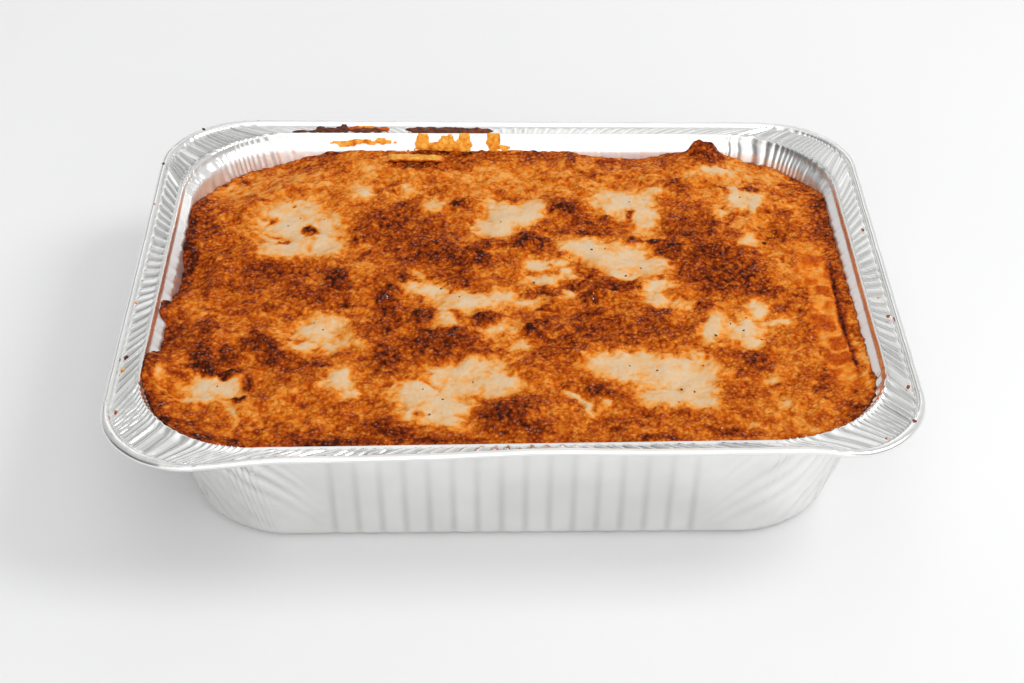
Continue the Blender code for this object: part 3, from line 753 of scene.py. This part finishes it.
def crust_height(x, y, share, bake, dark, grain, gap):
    """Height of the crust, which meets its edge where share, 0 in the middle, comes near 1 at the wall."""
    inner = FOOD_LEVEL + 0.7 * (1 - share ** 2)
    inner = inner + 1.5 * ripple(x, y, 21, 0.7) + 1.1 * ripple(x, y, 9, 5.3)
    for bump in CRUST_BUMPS:
        inner = inner + bump[4] * np.exp(-oval(x, y, bump) ** 2)
    for hollow in CRUST_HOLLOWS:
        inner = inner - hollow[4] * np.exp(-oval(x, y, hollow) ** 2)
    inner = np.minimum(inner, FOOD_CEILING)
    for blister in BLISTERS:
        inner = inner + blister[4] * np.sqrt(np.clip(1 - oval(x, y, blister) ** 2, 0, 1))
    rough = smooth((bake - 0.04) / 0.3)
    lumps = 1.3 * ripple(x, y, 5, 61.0) + 0.9 * ripple(x, y, 2.5, 65.0) * (0.6 + 1.3 * dark)
    inner = inner + rough * lumps
    inner = inner + 1.2 * (np.clip(bake, 0, 1.1) - 0.5) * rough
    edge = edge_level(x, y)
    band = 0.14 + 0.2 * np.clip((56 - edge) / 6, 0, 1)
    level = mix(inner, edge + 0.5 * grain * ripple(x, y, 3, 67.0), smooth((share - 1 + band) / band))
    return level - 1.1 * gap


def make_lasagne(material):
    """A solid block that fills the pan: a finely gridded crust, sides down the foil and a flat underside."""
    u, v = np.meshgrid(np.linspace(-1, 1, GRID_X + 1), np.linspace(-1, 1, GRID_Y + 1), indexing="ij")
    share = np.maximum(np.abs(u), np.abs(v))
    safe = np.maximum(share, 1e-9)
    edge_u, edge_v = u / safe, v / safe
    edge_x, edge_y = outline_at(edge_u, edge_v, FOOD_LEVEL)
    edge_x, edge_y = outline_at(edge_u, edge_v, edge_level(edge_x, edge_y))
    inset = inner_inset(FOOD_LEVEL)[0]
    x = mix(u * (HALF_LENGTH - inset), edge_x * share, share ** 3)
    y = mix(v * (HALF_WIDTH - inset), edge_y * share, share ** 3)
    bake, dark, grain, gap = baking(x, y, share)
    z = crust_height(x, y, share, bake, dark, grain, gap)
    top = np.stack([x, y, z + rim_rise(x, y, z) * share ** 4], axis=2).reshape(-1, 3)
    faces = grid_faces(*u.shape).reshape(-1, 4).tolist()
    border = grid_border(*u.shape)
    points = [top]
    values = {"bake": [bake.ravel()], "grain": [grain.ravel()]}
    ring_above = border
    total = len(top)
    for highest, least_drop in SIDE_RINGS:
        level = np.minimum(highest, z.ravel()[border] - least_drop)
        ring_x, ring_y = outline_at(u.ravel()[border], v.ravel()[border], level)
        points.append(np.stack([ring_x, ring_y, level + rim_rise(ring_x, ring_y, level)], axis=1))
        for key, layer in values.items():
            layer.append(layer[0][border])
        ring = total + np.arange(len(border))
        total += len(border)
        for i in range(len(border)):
            j = (i + 1) % len(border)
            faces.append((int(ring[i]), int(ring[j]), int(ring_above[j]), int(ring_above[i])))
        ring_above = ring
    faces.append(tuple(int(i) for i in ring_above[::-1]))
    lasagne = mesh_piece("lasagne_crust", np.concatenate(points), faces, material,
                         {key: np.concatenate(layer) for key, layer in values.items()})
    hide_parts("lasagne")
    return lasagne


# Sauce, pepper and pasta on top

def surface_of(piece):
    mesh = piece.data
    return BVHTree.FromPolygons([v.co for v in mesh.vertices], [tuple(f.vertices) for f in mesh.polygons])


def height_on(surface, x, y):
    """Height, in millimetres, of a surface under each place."""
    x, y = np.asarray(x, float), np.asarray(y, float)
    down = Vector((0, 0, -1))
    starts = [Vector((a * MM, b * MM, 0.2)) for a, b in zip(x.flat, y.flat)]
    return np.array([surface.ray_cast(start, down)[0].z / MM for start in starts]).reshape(x.shape)


def make_film(name, spots, thickness, seed, surface, material):
    """A thin uneven film of sauce on a surface; its ragged edge sinks just under the surface."""
    low_x = min(s[0] - 1.6 * s[2] for s in spots) - 1
    high_x = max(s[0] + 1.6 * s[2] for s in spots) + 1
    low_y = min(s[1] - 1.6 * max(s[3], 1) for s in spots) - 0.5
    high_y = max(s[1] + 1.6 * max(s[3], 1) for s in spots) + 0.5
    columns, rows = np.arange(low_x, high_x, FILM_STEP), np.arange(low_y, high_y, FILM_STEP)
    x, y = np.meshgrid(columns, rows, indexing="ij")
    cover = np.zeros_like(x)
    bake = np.full_like(x, 0.5)
    shift_x = x + 0.9 * ripple(x, y, 3.5, seed, 2)
    shift_y = y + 0.5 * ripple(x, y, 3.5, seed + 5, 2)
    for spot in spots:
        here = spot[4] * (1 - smooth((oval(shift_x, shift_y, spot) - 0.5) / 1.0))
        bake = np.where(here > cover, spot[6], bake)
        cover = np.maximum(cover, here)
    lift = np.clip(cover + 0.3 * ripple(x, y, 2.6, seed + 9, 3) - 0.38, -0.5, 1)
    z = height_on(surface, x, y) + thickness * np.where(lift > 0, 0.3 + lift, 1.2 * lift - 0.1)
    quads = grid_faces(*x.shape)
    seen = (lift.ravel()[quads] > 0).any(axis=2)
    used, faces = np.unique(quads[seen], return_inverse=True)
    points = np.stack([x, y, z], axis=2).reshape(-1, 3)[used]
    bake = np.maximum(bake + 0.16 * ripple(x, y, 2.4, seed + 2, 2), 0.2)
    faces = faces.reshape(-1, 4).tolist()
    return mesh_piece(name, points, faces, material, {"bake": bake.ravel()[used]})


def make_crumbs(name, crumbs, flatness, surface, material):
    """Small lumps, each a closed uneven dome on the surface: x, y, radius and, for sauce, how baked."""
    around, up = 9, 4
    points, faces, bake = [], [], []
    for number, (cx, cy, radius, *tone) in enumerate(crumbs):
        start = len(points)
        base = float(height_on(surface, [cx], [cy])[0])
        for level in range(up):
            lean = math.pi * (level + 0.5) / up
            for k in range(around):
                turn = 2 * math.pi * k / around + number
                uneven = 1 + 0.28 * math.sin(2 * turn + 3.1 * number) + 0.15 * math.sin(3 * turn + number)
                reach = radius * uneven * math.sin(lean)
                points.append((cx + reach * math.cos(turn), cy + reach * math.sin(turn),
                               base + flatness * radius * (math.cos(lean) + 0.5)))
        for level in range(up - 1):
            for k in range(around):
                j = (k + 1) % around
                a, b = start + level * around, start + (level + 1) * around
                faces.append((a + k, b + k, b + j, a + j))
        faces.append(tuple(start + k for k in range(around)))
        faces.append(tuple(start + (up - 1) * around + k for k in reversed(range(around))))
        bake += tone * (len(points) - start)
    return mesh_piece(name, points, faces, material, {"bake": bake} if bake else {})


def make_pasta_strip(surface, material):
    """The edge of a sheet of pasta that stands up out of the crust at the back."""
    u, v = np.meshgrid(np.linspace(0, 1, 57), np.linspace(0, 1, 17), indexing="ij")
    x = PASTA_X + PASTA_LENGTH * u + 0.6 * np.sin(v * 5)
    width = (PASTA_WIDTH + 0.9 * np.sin(u * 7 + 1)) * (1 - 0.35 * smooth((u - 0.8) / 0.2))
    y = PASTA_Y - 2.0 * u - width * v
    ends = smooth(u * 9) * smooth((1 - u) * 9)
    base = height_on(surface, x, y)
    base = 0.5 * (base + base.mean())
    top = base + ends * (0.9 + 1.1 * smooth(v * 1.4)) - 0.5 * (1 - ends) + 0.15 * ripple(x, y, 6, 81.0, 2)
    bottom = np.maximum(top - 0.9, base - 1.5)
    bake = 0.25 + 0.09 * ripple(x, y, 5, 83.0, 2)
    # darker towards its right end, and painted shade along its raised front edge, which stands up over the
    # crust
    bake = bake + 0.45 * smooth((u - 0.86) / 0.12) + 0.3 * smooth((v - 0.9) / 0.1)
    nx, ny = u.shape
    size = nx * ny
    upper = grid_faces(nx, ny).reshape(-1, 4)
    lower = grid_faces(nx, ny, size).reshape(-1, 4)[:, ::-1]
    border = grid_border(nx, ny)
    after = np.roll(border, -1)
    sides = np.stack([border + size, after + size, after, border], axis=1)
    points = np.concatenate([np.stack([x, y, z], axis=2).reshape(-1, 3) for z in (top, bottom)])
    faces = np.concatenate([upper, lower, sides]).tolist()
    return mesh_piece("pasta_edge", points, faces, material, {"bake": np.tile(bake.ravel(), 2)})


# Materials

def add_node(tree, kind, inputs=None, **settings):
    node = tree.nodes.new(kind)
    for key, value in settings.items():
        setattr(node, key, value)
    for key, value in (inputs or {}).items():
        if isinstance(value, bpy.types.NodeSocket):
            tree.links.new(value, node.inputs[key])
        else:
            node.inputs[key].default_value = value
    return node


def math_node(tree, operation, *values, clamp=False):
    inputs = dict(enumerate(values))
    return add_node(tree, "ShaderNodeMath", inputs, operation=operation, use_clamp=clamp).outputs[0]


def object_place(tree):
    return add_node(tree, "ShaderNodeTexCoord").outputs["Object"]


def noise_value(tree, place, scale, **settings):
    return add_node(tree, "ShaderNodeTexNoise", {"Vector": place, "Scale": scale, **settings}).outputs["Fac"]


def point_value(tree, name):
    """A value that the mesh keeps at its points."""
    return add_node(tree, "ShaderNodeAttribute", attribute_name=name).outputs["Fac"]


def blend(tree, share, first, second, kind="MIX"):
    """Two colours mixed by share, the second one a constant."""
    node = add_node(tree, "ShaderNodeMix", data_type="RGBA", blend_type=kind)
    tree.links.new(share, node.inputs["Factor"])
    tree.links.new(first, node.inputs["A"])
    node.inputs["B"].default_value = second
    return node.outputs["Result"]


def colour_ramp(tree, factor, stops):
    ramp = add_node(tree, "ShaderNodeValToRGB", {"Fac": factor})
    elements = ramp.color_ramp.elements
    while len(elements) < len(stops):
        elements.new(0.5)
    for element, (place, colour) in zip(elements, stops):
        element.position = place
        element.color = colour
    return ramp.outputs["Color"]


def new_group(name, inputs, outputs):
    """A shader group with float inputs (name to default) and named outputs (name to kind of socket)."""
    group = bpy.data.node_groups.new(name, "ShaderNodeTree")
    for key, default in inputs.items():
        socket = group.interface.new_socket(key, in_out="INPUT", socket_type="NodeSocketFloat")
        socket.default_value = default
    for key, kind in outputs.items():
        group.interface.new_socket(key, in_out="OUTPUT", socket_type=kind)
    start = group.nodes.new("NodeGroupInput")
    end = group.nodes.new("NodeGroupOutput")
    return group, start.outputs, end.inputs


def place_group(tree, group, inputs):
    return add_node(tree, "ShaderNodeGroup", inputs, node_tree=group).outputs


def new_material(name, constants):
    """A material whose shader has some of its own sockets set to constants."""
    material = bpy.data.materials.new(name)
    material.use_nodes = True
    tree = material.node_tree
    shader = tree.nodes["Principled BSDF"]
    for key, value in constants.items():
        shader.inputs[key].default_value = value
    return material, tree, shader


def add_relief(tree, shader, height, strength, distance):
    bump = add_node(tree, "ShaderNodeBump", {"Strength": strength, "Distance": distance, "Height": height})
    tree.links.new(bump.outputs["Normal"], shader.inputs["Normal"])


def browning_group():
    """Colour of baked cheese and sauce for a value from 0, pale, to 1, charred."""
    group, given, result = new_group("browning", {"Bake": 0.5}, {"Color": "NodeSocketColor"})
    stops = (
        (0.0, srgb(216, 193, 163)),
        (0.10, srgb(222, 182, 135)),
        (0.20, srgb(230, 162, 86)),
        (0.31, srgb(229, 138, 46)),
        (0.42, srgb(217, 112, 20)),
        (0.53, srgb(201, 90, 11)),
        (0.65, srgb(178, 71, 8)),
        (0.78, srgb(148, 55, 8)),
        (0.90, srgb(110, 41, 10)),
        (1.0, srgb(74, 29, 12)),
    )
    group.links.new(colour_ramp(group, given["Bake"], stops), result["Color"])
    return group


def speckle_group():
    """Curdled grain of baked cheese: a shift about 0, a height, and where it glistens."""
    outputs = {key: "NodeSocketFloat" for key in ("Shift", "Height", "Glisten")}
    group, given, result = new_group("speckle", {"Scale": 600.0, "Strength": 1.0}, outputs)
    place = object_place(group)
    fine = noise_value(group, place, given["Scale"], Detail=5.0, Roughness=0.7, Distortion=0.2)
    coarse_scale = math_node(group, "MULTIPLY", given["Scale"], 0.4)
    coarse = noise_value(group, place, coarse_scale, Detail=3.0, Roughness=0.55)
    blister_scale = math_node(group, "MULTIPLY", given["Scale"], 0.9)
    blister = add_node(group, "ShaderNodeTexVoronoi", {"Vector": place, "Scale": blister_scale})
    blister = blister.outputs["Distance"]
    both = math_node(group, "ADD", fine, coarse)
    centred = math_node(group, "SUBTRACT", both, 1.0)
    domed = math_node(group, "MULTIPLY_ADD", blister, 0.5, -0.22)
    shift = math_node(group, "ADD", centred, domed)
    group.links.new(math_node(group, "MULTIPLY", shift, given["Strength"]), result["Shift"])
    height = math_node(group, "SUBTRACT", both, blister)
    group.links.new(height, result["Height"])
    wet = add_node(group, "ShaderNodeMapRange", {"Value": height, "From Min": 0.76, "From Max": 0.98})
    group.links.new(wet.outputs["Result"], result["Glisten"])
    return group


def foil_material():
    """Bright foil: crinkled, smeared, with painted shade in its grooves, a brown line along the brim and
    misted inside.
    """
    material, tree, shader = new_material("bright_foil", {})
    brown_line = point_value(tree, "brown_line")
    place = object_place(tree)
    crinkle = noise_value(tree, place, 170.0, Detail=3.0)
    smear = noise_value(tree, place, 40.0, Detail=4.0)
    tint = colour_ramp(tree, smear, ((0.3, (0.84, 0.84, 0.83, 1)), (0.7, (0.94, 0.94, 0.93, 1))))
    # painted shade: the foil's colour is darkened in its flutes, wrinkles, crimp valleys and the crease at
    # the back
    shaded_tint = blend(tree, point_value(tree, "groove"), tint, (0.64, 0.64, 0.62, 1), "MULTIPLY")
    tree.links.new(blend(tree, brown_line, shaded_tint, srgb(142, 104, 84)), shader.inputs["Base Color"])
    tree.links.new(math_node(tree, "SUBTRACT", 1.0, brown_line, clamp=True), shader.inputs["Metallic"])
    worn = math_node(tree, "MULTIPLY_ADD", smear, 0.12, 0.13)
    frosted = math_node(tree, "MULTIPLY_ADD", point_value(tree, "frost"), 0.25, worn)
    tree.links.new(frosted, shader.inputs["Roughness"])
    add_relief(tree, shader, crinkle, 0.25, 0.0006)
    return material


def crust_material(browning, speckle):
    """Baked cheese: its colour follows the baking, and where it is baked it is curdled and glistens."""
    material, tree, shader = new_material("browned_crust", {
        "Roughness": 0.55, "Specular IOR Level": 0.04, "Coat Roughness": 0.12, "Coat IOR": 1.9})
    grain = point_value(tree, "grain")
    curd = place_group(tree, speckle, {"Scale": 640.0, "Strength": 0.95})
    share = math_node(tree, "MULTIPLY_ADD", grain, 0.9, 0.12)
    total = math_node(tree, "MULTIPLY_ADD", curd["Shift"], share, point_value(tree, "bake"))
    tree.links.new(place_group(tree, browning, {"Bake": total})["Color"], shader.inputs["Base Color"])
    strength = math_node(tree, "MULTIPLY_ADD", grain, 0.7, 0.16)
    add_relief(tree, shader, curd["Height"], strength, 0.0034)
    shine = math_node(tree, "ADD", curd["Glisten"], 0.02)
    tree.links.new(math_node(tree, "MULTIPLY", shine, grain), shader.inputs["Coat Weight"])
    return material


def sauce_material(speckle):
    """Sauce that dried on the hot foil: bright orange where it is thin, black brown where it burnt."""
    material, tree, shader = new_material("dried_sauce", {"Roughness": 0.5, "Specular IOR Level": 0.2})
    curd = place_group(tree, speckle, {"Scale": 500.0, "Strength": 0.45})
    total = math_node(tree, "ADD", point_value(tree, "bake"), curd["Shift"])
    stops = (
        (0.15, srgb(252, 190, 80)),
        (0.35, srgb(240, 146, 30)),
        (0.55, srgb(204, 88, 10)),
        (0.75, srgb(146, 66, 22)),
        (0.95, srgb(92, 46, 28)),
    )
    tree.links.new(colour_ramp(tree, total, stops), shader.inputs["Base Color"])
    add_relief(tree, shader, curd["Height"], 0.5, 0.002)
    return material


def pepper_material():
    material, tree, shader = new_material("ground_pepper", {"Roughness": 0.9, "Specular IOR Level": 0.1})
    mottle = noise_value(tree, object_place(tree), 900.0)
    colour = colour_ramp(tree, mottle, ((0.35, srgb(58, 40, 26)), (0.65, srgb(120, 92, 62))))
    tree.links.new(colour, shader.inputs["Base Color"])
    return material


# Floor, light and camera

def make_floor():
    material, tree, shader = new_material("studio_floor", {"Roughness": 0.7})
    mottle = noise_value(tree, object_place(tree), 3.0)
    colour = colour_ramp(tree, mottle, ((0.3, (0.86, 0.86, 0.865, 1)), (0.7, (0.88, 0.88, 0.885, 1))))
    tree.links.new(colour, shader.inputs["Base Color"])
    mesh = bpy.data.meshes.new("floor")
    corners = ((-1, -1), (1, -1), (1, 1), (-1, 1))
    mesh.from_pydata([(a * FLOOR_REACH, b * FLOOR_REACH, 0) for a, b in corners], [], [(0, 1, 2, 3)])
    mesh.materials.append(material)
    floor = place_object("floor", mesh)


def add_key_window():
    """A soft square light that faces the tray."""
    light = bpy.data.lights.new("key_window", "AREA")
    light.size = WINDOW_SIZE
    light.energy = WINDOW_POWER
    lamp = place_object("key_window", light)
    lamp.location = WINDOW_PLACE
    facing = Vector(WINDOW_TARGET) - Vector(WINDOW_PLACE)
    lamp.rotation_euler = facing.to_track_quat("-Z", "Y").to_euler()


def glow(tree, ray, direction, reach, strength, base):
    """The base light with some added or taken away in a soft round part of the sky, out to reach degrees."""
    facing = add_node(tree, "ShaderNodeVectorMath", {0: ray, 1: Vector(direction).normalized()},
                      operation="DOT_PRODUCT").outputs["Value"]
    edge = math.cos(math.radians(reach))
    part = add_node(tree, "ShaderNodeMapRange", {"Value": facing, "From Min": edge, "To Max": strength},
                    interpolation_type="SMOOTHSTEP")
    return math_node(tree, "ADD", base, part.outputs["Result"])


def make_light():
    world = bpy.data.worlds.new("white_studio")
    world.use_nodes = True
    tree = world.node_tree
    ray = add_node(tree, "ShaderNodeTexCoord").outputs["Generated"]
    level = SKY_LEVEL
    for direction, reach, strength in SKY:
        level = glow(tree, ray, direction, reach, strength, level)
    grey = add_node(tree, "ShaderNodeCombineColor", {"Red": level, "Green": level, "Blue": level}).outputs[0]
    tree.links.new(grey, tree.nodes["Background"].inputs["Color"])
    bpy.context.scene.world = world
    add_key_window()


def make_camera():
    camera = bpy.data.cameras.new("camera")
    camera.sensor_width = 36.0
    camera.lens = CAMERA_LENS
    holder = place_object("camera", camera)
    forward = Vector(CAMERA_FORWARD).normalized()
    right = forward.cross(Vector((0, 0, 1))).normalized()
    up = right.cross(forward)
    turn = Matrix((right, up, -forward)).transposed().to_4x4()
    holder.matrix_world = Matrix.Translation(CAMERA_PLACE) @ turn
    bpy.context.scene.camera = holder


bpy.context.scene.view_settings.view_transform = "Standard"
browning = browning_group()
speckle = speckle_group()
baked = crust_material(browning, speckle)
sauce = sauce_material(speckle)
rim = surface_of(make_pan(foil_material()))
crust = surface_of(make_lasagne(baked))
make_film("burnt_sauce", BURNT_SAUCE, 0.9, 90.0, rim, sauce)
make_film("runny_sauce", RUNNY_SAUCE, 0.3, 110.0, rim, sauce)
make_crumbs("sauce_specks", RIM_SPECKS, 0.5, rim, sauce)
make_crumbs("pepper_flecks", PEPPER, 0.6, crust, pepper_material())
make_pasta_strip(crust, sauce)
make_floor()
make_light()
make_camera()
